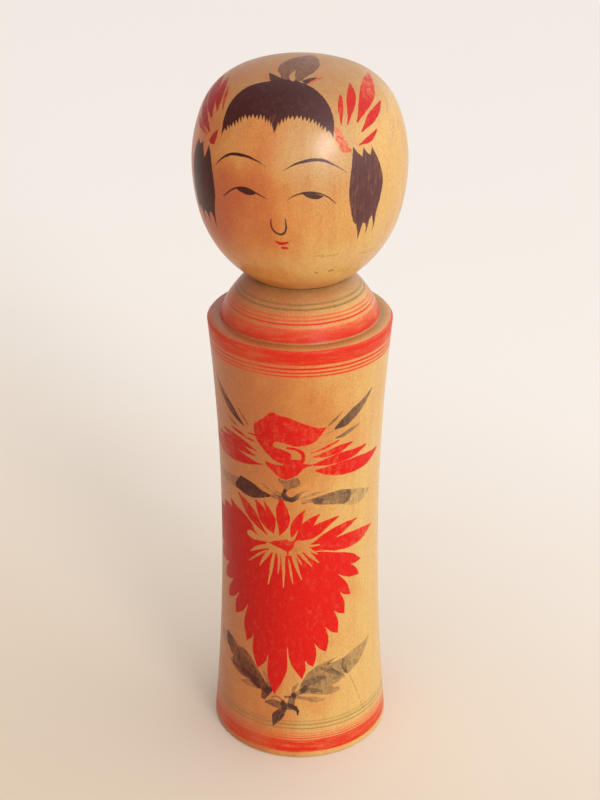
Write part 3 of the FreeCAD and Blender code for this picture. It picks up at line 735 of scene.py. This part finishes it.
def turned_mesh(name, piece, section, paint, columns, pitch, depth):
    """Revolves a half-section into faces that get finer near the edges of the painting."""
    rows = section.rows(pitch)
    fine = 2 ** depth
    wide, tall = columns * fine, (len(rows) - 1) * fine

    def place(i, j):
        row = np.minimum(np.floor(j / fine).astype(int), len(rows) - 2)
        along = rows[row] + (rows[row + 1] - rows[row]) * (j / fine - row)
        angle = (i / wide) * 2 * math.pi - math.pi
        return angle, along

    i, j = np.meshgrid(np.arange(columns) * fine, np.arange(len(rows) - 1) * fine, indexing="ij")
    cells = np.stack([i.ravel(), j.ravel()], 1)
    size = fine
    leaves = []
    while len(cells) and size > 1:
        i, j = cells.T
        angle, along = place(i + size / 2, j + size / 2)
        width = section.radius(along) * 2 * math.pi * size / wide
        height = np.abs(place(i, j + size)[1] - place(i, j)[1])
        near = edge_distance(paint, chart_spots(piece, angle, along, section))
        split = near < SPLIT_REACH * np.hypot(width, height)
        leaves.append((cells[~split], size))
        size //= 2
        cells = np.concatenate([cells[split] + [a, b] for a in (0, size) for b in (0, size)])
    leaves.append((cells, size))

    used = np.zeros((wide, tall + 1), bool)
    for cells, size in leaves:
        for a in (0, size):
            for b in (0, size):
                used[(cells[:, 0] + a) % wide, cells[:, 1] + b] = True
    number = np.full(used.shape, -1)
    number[used] = np.arange(used.sum())
    faces = []
    for cells, size in leaves:
        for i, j in cells.tolist():
            steps = range(size)
            ring = [number[(i + k) % wide, j] for k in steps]
            ring += [number[(i + size) % wide, j + k] for k in steps]
            ring += [number[(i + size - k) % wide, j + size] for k in steps]
            ring += [number[i, j + size - k] for k in steps]
            faces.append([corner for corner in ring if corner >= 0])
    i, j = np.nonzero(used)
    angle, along = place(i.astype(float), j.astype(float))
    radius, height = section.radius(along), section.height(along)

    mesh = bpy.data.meshes.new(name)
    corners = np.stack([radius * np.sin(angle), -radius * np.cos(angle), height], 1) * MM
    mesh.from_pydata(corners.tolist(), [], faces)

    def store(label, kind, field, values):
        mesh.attributes.new(label, kind, "POINT").data.foreach_set(field, values)

    spots = chart_spots(piece, angle, along, section)
    for colour in ("red", "ink"):
        edge, load, flow = blend_marks(paint[colour], spots)
        store(colour, "FLOAT", "value", edge)
        store(f"{colour}_load", "FLOAT", "value", load)
        store(f"{colour}_flow", "FLOAT_VECTOR", "vector", flow.ravel())
    store("scratch", "FLOAT", "value", edge_distance({"scratch": paint["scratch"]}, spots))
    mesh.polygons.foreach_set("use_smooth", np.ones(len(faces), bool))
    turned = bpy.data.objects.new(name, mesh)
    bpy.context.collection.objects.link(turned)

    work = bmesh.new()
    work.from_mesh(mesh)
    bmesh.ops.remove_doubles(work, verts=work.verts, dist=WELD)
    bmesh.ops.recalc_face_normals(work, faces=work.faces)
    work.to_mesh(mesh)
    work.free()
    return turned


# ------------------------------------------------------------------ materials

class Nodes:
    """Shorthand for wiring one node tree."""

    def __init__(self, tree, coordinates="Object"):
        self.tree = tree
        self.place = self.add("ShaderNodeTexCoord").outputs[coordinates]

    def add(self, kind, **settings):
        node = self.tree.nodes.new(kind)
        for key, value in settings.items():
            setattr(node, key, value)
        return node

    def put(self, socket, value):
        if isinstance(value, bpy.types.NodeSocket):
            self.tree.links.new(value, socket)
        else:
            socket.default_value = value

    def set(self, node, values):
        """Sets sockets of the node called that."""
        for name, value in values.items():
            self.put(self.tree.nodes[node].inputs[name], value)

    def math(self, operation, *values, clamp=False):
        """One maths node; a value is a number or another node's output."""
        node = self.add("ShaderNodeMath", operation=operation, use_clamp=clamp)
        for socket, value in zip(node.inputs, values):
            self.put(socket, value)
        return node.outputs[0]

    def plus(self, first, second):
        return self.math("ADD", first, second)

    def minus(self, first, second, clamp=False):
        return self.math("SUBTRACT", first, second, clamp=clamp)

    def times(self, first, second):
        return self.math("MULTIPLY", first, second)

    def swing(self, value, reach, middle=0.5):
        """A noise's swing either side of its middle."""
        return self.times(self.minus(value, middle), reach)

    def ramp(self, value, low, high, start=0.0, end=1.0, smooth=True):
        kind = "SMOOTHSTEP" if smooth else "LINEAR"
        node = self.add("ShaderNodeMapRange", interpolation_type=kind)
        for socket, item in zip(node.inputs, (value, low, high, start, end)):
            self.put(socket, item)
        return node.outputs[0]

    def mix(self, share, first, second, blend="MIX"):
        node = self.add("ShaderNodeMix", data_type="RGBA", blend_type=blend)
        self.put(node.inputs["Factor"], share)
        for name, value in (("A", first), ("B", second)):
            socket = [s for s in node.inputs if s.name == name and s.type == "RGBA"][0]
            self.put(socket, (*value, 1) if isinstance(value, tuple) else value)
        return [s for s in node.outputs if s.type == "RGBA"][0]

    def tinted(self, share, colour, tint):
        """The colour multiplied by the tint, where share says so."""
        return self.mix(share, colour, self.mix(1.0, colour, tint, "MULTIPLY"))

    def scaled(self, vector, scale):
        node = self.add("ShaderNodeMapping")
        self.put(node.inputs["Vector"], vector)
        node.inputs["Scale"].default_value = scale
        return node.outputs[0]

    def vector(self, operation, other=None, start=None):
        """A vector measured into one value."""
        node = self.add("ShaderNodeVectorMath", operation=operation)
        self.put(node.inputs[0], self.place if start is None else start)
        if other is not None:
            node.inputs[1].default_value = other
        return node.outputs["Value"]

    def noise(self, scale, detail, roughness, distortion=0.0, start=None):
        """Noise with its own scale along each axis, per metre."""
        node = self.add("ShaderNodeTexNoise")
        start = self.place if start is None else start
        self.put(node.inputs["Vector"], self.scaled(start, scale))
        for key, value in (("Scale", 1.0), ("Detail", detail), ("Roughness", roughness),
                           ("Distortion", distortion)):
            node.inputs[key].default_value = value
        return node.outputs["Fac"]

    def attribute(self, name, output="Fac"):
        return self.add("ShaderNodeAttribute", attribute_name=name).outputs[output]


def new_material(name):
    material = bpy.data.materials.new(name)
    material.use_nodes = True
    return material, Nodes(material.node_tree)


# wood from its palest to its darkest colour
TORSO_WOOD = ((0.62, 0.385, 0.116), (0.55, 0.205, 0.042), (0.43, 0.125, 0.030))
HEAD_WOOD = ((0.61, 0.365, 0.112), (0.56, 0.195, 0.038), (0.43, 0.085, 0.022))
# the crown's darker wood, partly painted shade where less light falls from above; also laid under
# the polished brow
CROWN_SHADE_WOOD = (0.36, 0.158, 0.066)
WOOD_DARK = (0.16, 0.055, 0.018)
RED_DYE = (0.60, 0.009, 0.006)
HEAD_RED_DYE = (0.50, 0.012, 0.008)
RED_THIN = (0.66, 0.08, 0.035)
INK_DYE = (0.048, 0.014, 0.012)
INK_THIN = (0.135, 0.048, 0.050)
LEAF_DYE = (0.068, 0.028, 0.019)
LEAF_THIN = (0.118, 0.070, 0.050)
GREEN_DYE = (0.11, 0.095, 0.04)
# painted shade and age on the dyes of the doll's right side, and grit to everything
SHADE_AND_AGE_TINT = (0.68, 0.55, 0.52)
INK_SHADE_AND_AGE_TINT = (1.0, 0.36, 0.32)
GRIT_DARK = (0.87, 0.80, 0.74)
GRIT_PALE = (1.08, 1.14, 1.18)
# the doll's right, where painted shade falls, together with darkening by age
SHADED_AND_AGED_SIDE = (-0.98, -0.19, 0)
# metres: where hands have polished the forehead
POLISHED_BROW = (0.013, -0.029, 0.221)


def painted_wood(name, woods, bands, red_dye, ink_dye, ink_thin, ink_dry, sheen):
    """Waxed old wood under dye painting.  Places are in metres.  woods runs from its palest to
    its darkest colour, bands adds the rings painted while the piece turns, ink_dry is how far ink
    breaks up over the grain and sheen how much the dye shines."""
    material, n = new_material(name)
    pale, warm, deep = woods
    fibre = n.noise((1300, 1300, 45), 3.0, 0.6)
    streak = n.noise((260, 260, 9), 2.0, 0.55)
    speckle = n.noise((1500, 1500, 900), 2.0, 0.7)
    grit = n.noise((2300, 2300, 1900), 1.0, 0.6)
    cloud = n.noise((34, 34, 22), 3.0, 0.55, 0.4)
    stain = n.noise((90, 90, 60), 4.0, 0.6)
    marble = n.noise((620, 620, 330), 4.0, 0.7, 0.5)

    # how far the wood has darkened: side to side (painted shade, partly age), in blotches, and by
    # where hands rub it
    # lit and shade: painted light and shade, lighter on the doll's left and darker on its right
    lit = n.ramp(n.vector("DOT_PRODUCT", SHADED_AND_AGED_SIDE), -0.034, 0.034, 1.0, 0.0, smooth=False)
    shade = n.ramp(lit, 0.6, 0.1)
    level = n.add("ShaderNodeSeparateXYZ")
    n.put(level.inputs[0], n.place)
    height = level.outputs["Z"]
    chin = n.times(n.ramp(height, 0.175, 0.179), n.ramp(height, 0.196, 0.184))
    rubbed = n.math("MAXIMUM", chin, n.ramp(height, 0.211, 0.220))
    dulled = n.times(n.ramp(height, 0.09, 0.13), n.ramp(height, 0.172, 0.166))
    blotch = n.plus(n.swing(cloud, 0.62), n.swing(stain, 0.5))
    tone = n.plus(n.plus(lit, blotch), n.times(rubbed, 0.23))
    tone = n.minus(tone, n.times(dulled, 0.13))
    wood = n.mix(n.ramp(tone, 0.05, 0.55), deep, warm)
    wood = n.mix(n.ramp(tone, 0.34, 0.90), wood, pale)
    # painted shade, partly old wood: the crown darkens towards the top
    crown = n.ramp(n.plus(height, n.swing(cloud, 0.02)), 0.225, 0.242, 0.0, 0.7)
    wood = n.mix(crown, wood, CROWN_SHADE_WOOD)
    polish = n.ramp(n.vector("DISTANCE", POLISHED_BROW), 0.021, 0.004)
    wood = n.mix(n.times(polish, 0.42), wood, CROWN_SHADE_WOOD)
    grain = n.plus(n.times(fibre, 0.45), n.times(streak, 0.55))
    wood = n.mix(n.ramp(grain, 0.42, 0.72, 0.0, 0.26), wood, deep)
    wood = n.mix(n.ramp(speckle, 0.58, 0.78, 0.0, 0.14), wood, WOOD_DARK)
    broken = n.noise((700, 700, 700), 2.0, 0.6)
    nick = n.times(n.ramp(n.attribute("scratch"), 0.30, 0.08), n.ramp(broken, 0.36, 0.52))
    wood = n.mix(n.times(nick, 0.42), wood, WOOD_DARK)

    def layer(colour, below, dye, thin, shade_and_age, dry):
        """One dye over what is below it: streaked along the brush, paler where it is thin, and
        darker on the shaded side as painted shade.
        """
        flow = n.attribute(f"{colour}_flow", "Vector")
        hairs = n.noise((3.2, 0.22, 1.0), 3.0, 0.6, start=flow)
        rough = n.noise((1100, 1100, 800), 2.0, 0.6)
        edge = n.plus(n.attribute(colour), n.swing(rough, 0.16))
        cover = n.ramp(n.plus(edge, n.swing(hairs, 0.5)), -0.10, 0.12)
        load = n.plus(n.attribute(f"{colour}_load"), n.swing(hairs, 0.42, 0.55))
        load = n.plus(load, n.swing(stain, 0.30, 0.55))
        gap = n.ramp(marble, 0.36, 0.64, -0.25 * dry, dry)
        load = n.minus(load, n.times(gap, n.minus(1.12, load)), clamp=True)
        strength = n.times(cover, n.ramp(load, 0.0, 0.8, smooth=False))
        tint = n.mix(n.ramp(load, 0.45, 0.9), thin, dye)
        tint = n.mix(n.ramp(marble, 0.50, 0.70, 0.0, 0.30), tint, thin)
        return n.mix(strength, below, n.tinted(shade, tint, shade_and_age)), strength

    # painted light: the ink turns paler on the lit side
    ink_dye = n.mix(n.ramp(lit, 0.35, 0.95, 0.0, 0.6), ink_dye, ink_thin)
    colour, ink_strength = layer("ink", wood, ink_dye, ink_thin, INK_SHADE_AND_AGE_TINT, ink_dry)
    colour, red_strength = layer("red", colour, red_dye, RED_THIN, SHADE_AND_AGE_TINT, 0.5)
    painted = n.math("MAXIMUM", ink_strength, red_strength)

    if bands:
        place = n.plus(height, n.swing(n.noise((60, 60, 60), 2.0, 0.5), 0.0004))
        worn_and_shaded = n.ramp(n.noise((120, 120, 900), 3.0, 0.65), 0.2, 0.6, 0.8, 1.05)
        worn_and_shaded = n.times(worn_and_shaded, n.ramp(cloud, 0.38, 0.56, 0.84, 1.0))
        # the bands' load drops on the shaded side, part of the painted side-to-side shade
        worn_and_shaded = n.times(worn_and_shaded, n.ramp(shade, 0.0, 1.0, 1.0, 0.86))
        for stops in bands:
            low, high = stops[0][0], stops[-1][0]
            node = n.add("ShaderNodeValToRGB")
            n.put(node.inputs["Fac"], n.ramp(place, low * MM, high * MM, smooth=False))
            ramp = node.color_ramp
            while len(ramp.elements) < len(stops):
                ramp.elements.new(1.0)
            for element, (stop, red_load, *green_load) in zip(ramp.elements, stops):
                element.position = (stop - low) / (high - low)
                element.color = (red_load, *(green_load or [0]), 0, 1)
            split = n.add("ShaderNodeSeparateColor")
            n.put(split.inputs[0], node.outputs["Color"])
            for channel, dye, thin in ((0, RED_DYE, RED_THIN), (1, GREEN_DYE, GREEN_DYE)):
                load = n.times(split.outputs[channel], worn_and_shaded)
                tint = n.mix(n.ramp(load, 0.45, 0.95), thin, dye)
                # painted shade: the bands darken towards the doll's right
                tint = n.tinted(n.times(shade, 0.4), tint, SHADE_AND_AGE_TINT)
                colour = n.mix(n.math("MINIMUM", load, 1.0), colour, tint)
                painted = n.math("MAXIMUM", painted, load)
        # painted shade: the dark line in the corner where the mound rises from the ledge
        out = n.vector("LENGTH", start=n.scaled(n.place, (1, 1, 0)))
        corner = n.times(n.ramp(out, 0.0283, 0.0264, 0.0, 0.24), n.ramp(height, 0.1572, 0.1578))
        colour = n.mix(n.times(corner, n.ramp(height, 0.1592, 0.1583)), colour, WOOD_DARK)

    colour = n.tinted(n.ramp(grit, 0.50, 0.72), colour, GRIT_DARK)
    colour = n.tinted(n.ramp(grit, 0.50, 0.28), colour, GRIT_PALE)
    gloss = n.ramp(n.noise((70, 70, 45), 3.0, 0.6), 0.3, 0.7, 0.26, 0.36)
    gloss = n.plus(n.plus(gloss, n.times(painted, 0.05)), n.swing(speckle, 0.16))
    shine = n.ramp(painted, 0.1, 0.9, n.minus(0.45, n.times(crown, 0.3)), sheen)
    relief = n.plus(n.times(fibre, 0.3), n.times(speckle, 0.12))
    relief = n.minus(n.plus(relief, n.times(stain, 0.8)), n.times(nick, 1.5))
    bump = n.add("ShaderNodeBump")
    bump.inputs["Strength"].default_value = 0.35
    bump.inputs["Distance"].default_value = 0.00006
    n.put(bump.inputs["Height"], relief)
    n.set("Principled BSDF", {
        "Base Color": colour, "Roughness": gloss, "Coat Weight": 0.04, "Coat Roughness": 0.3,
        "Specular IOR Level": n.plus(shine, n.times(polish, 0.2)),
        "Normal": bump.outputs["Normal"]})
    return material


# rings painted while the piece turns: height, load of red and, where there is any, of green
FOOT_BANDS = [
    (0, 0), (2, 0), (2.5, 0.9), (3.6, 0.92), (4.8, 0.86), (6, 0.9), (7.2, 0.82), (7.45, 0.34),
    (7.65, 0.34), (7.9, 0.85), (8.1, 0.8), (8.4, 0.28), (8.6, 0.26), (8.9, 0.8), (9.25, 0.22),
    (9.5, 0.2), (9.8, 0.66), (10.15, 0.14), (10.7, 0.2), (11.5, 0), (11.9, 0, 0.6),
    (12.35, 0, 0.06), (13.1, 0, 0.06), (13.5, 0, 0.62), (13.95, 0, 0.1), (14.5, 0, 0.06),
    (14.9, 0, 0.34), (15.4, 0),
]
SHOULDER_BANDS = [
    (147.4, 0), (148.2, 0.16), (148.55, 0.88), (148.8, 0.88), (149.15, 0.3), (149.45, 0.3),
    (149.8, 0.92), (150.05, 0.92), (150.4, 0.32), (150.8, 0.34), (151.15, 0.96), (151.45, 0.96),
    (151.85, 0.4), (152.35, 0.36), (152.8, 0.9), (155, 0.88), (156.6, 0.92), (157.6, 0.86),
    (157.85, 0.1), (158.1, 0),
]
MOUND_BANDS = [
    (157.7, 0), (157.95, 0.14, 0.2), (158.3, 0.4, 0.1), (158.7, 0.92), (160.2, 0.86), (161.2, 0.8),
    (162.4, 0.74), (162.8, 0.3), (163.35, 0.22), (163.75, 0.95), (163.95, 0.92), (164.2, 0.2),
    (164.5, 0.2), (164.85, 0.92), (165.2, 0.16), (165.5, 0.14), (165.85, 0.8), (166.25, 0.04),
    (167.2, 0, 0.04), (167.65, 0, 0.75), (168.1, 0, 0.16), (168.5, 0, 0.18), (168.9, 0, 0.66),
    (169.4, 0.16, 0.26), (171, 0.26, 0.42), (172.6, 0.2, 0.7),
]


# ------------------------------------------------------------------ build

neck = frame["joints"][0]["pos_m"][2] / MM
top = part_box("head")[1].z / MM

parts = {
    "torso": (torso_section(neck), torso_paint(), painted_wood(
        "torso_painted_wood", TORSO_WOOD, [FOOT_BANDS, SHOULDER_BANDS, MOUND_BANDS], RED_DYE,
        LEAF_DYE, LEAF_THIN, ink_dry=0.3, sheen=0.12)),
    "head": (head_section(top, neck), head_paint(), painted_wood(
        "head_painted_wood", HEAD_WOOD, [], HEAD_RED_DYE, INK_DYE, INK_THIN, ink_dry=0.14,
        sheen=0.18)),
}
for piece, (section, paint, material) in parts.items():
    turned = turned_mesh(f"{piece}_turned", piece, section, paint, columns=128, pitch=1.6, depth=3)
    turned.data.materials.append(material)
    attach(turned, piece)
    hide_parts(piece)


# ------------------------------------------------------------------ stage: everything in metres

# the near floor's colour holds painted shade and a painted warm bounce from the doll
FLOOR_NEAR_SHADED, FLOOR_FAR = (0.72, 0.595, 0.465), (0.885, 0.83, 0.785)
WORLD_DIM, WORLD_BRIGHT = 0.40, 1.54
# how far round from the camera, towards its right, the world is brightest, and the window stands
BRIGHT_AROUND, WINDOW_AROUND = 1.2, math.radians(28)


def around(out, up, azimuth):
    """A place out from the axis; azimuth is measured from the camera's side, towards its right."""
    angle = TURN + azimuth
    return Vector((out * math.sin(angle), -out * math.cos(angle), up))


def floor_material():
    """Pale paper, darker and warmer on the near side as painted shade."""
    material, n = new_material("floor_paper")
    mottle = n.noise((9, 9, 9), 2.0, 0.5)
    reach = n.plus(n.vector("DOT_PRODUCT", (0.5, 1.0, 0)), n.swing(mottle, 0.06))
    n.set("Principled BSDF", {
        "Base Color": n.mix(n.ramp(reach, -0.16, 0.36), FLOOR_NEAR_SHADED, FLOOR_FAR),
        "Roughness": n.ramp(mottle, 0.3, 0.7, 0.66, 0.74), "Specular IOR Level": 0.2})
    return material


floor_mesh = bpy.data.meshes.new("floor")
floor_mesh.from_pydata([(-4, -4, 0), (4, -4, 0), (4, 6, 0), (-4, 6, 0)], [], [(0, 1, 2, 3)])
floor = bpy.data.objects.new("floor", floor_mesh)
bpy.context.collection.objects.link(floor)
floor_mesh.materials.append(floor_material())

world = bpy.data.worlds.new("studio")
bpy.context.scene.world = world
world.use_nodes = True
n = Nodes(world.node_tree, "Generated")
towards = n.vector("DOT_PRODUCT", around(1, 0, BRIGHT_AROUND))
n.set("Background", {
    "Color": (1.0, 0.985, 0.965, 1),
    "Strength": n.ramp(towards, -1.0, 1.0, WORLD_DIM, WORLD_BRIGHT, smooth=False)})

lamp = bpy.data.lights.new("window", "AREA")
lamp.shape = "DISK"
lamp.size = 0.8
lamp.energy = 17.5
lamp.color = (1.0, 0.98, 0.95)
window = bpy.data.objects.new("window", lamp)
window.location = around(2.1, 0.86, WINDOW_AROUND)
to_doll = Vector((0, 0, 0.13)) - window.location
window.rotation_euler = to_doll.to_track_quat("-Z", "Y").to_euler()
bpy.context.collection.objects.link(window)

camera_data = bpy.data.cameras.new("camera")
camera_data.sensor_width = 36
camera_data.lens = 75
camera_data.clip_start = 0.01
camera = bpy.data.objects.new("camera", camera_data)
camera.location = around(0.4995, 0.3769, 0)
camera.rotation_euler = (math.pi / 2 - math.radians(26.7), 0, TURN)
bpy.context.collection.objects.link(camera)
bpy.context.scene.camera = camera
bpy.context.scene.view_settings.view_transform = "Standard"
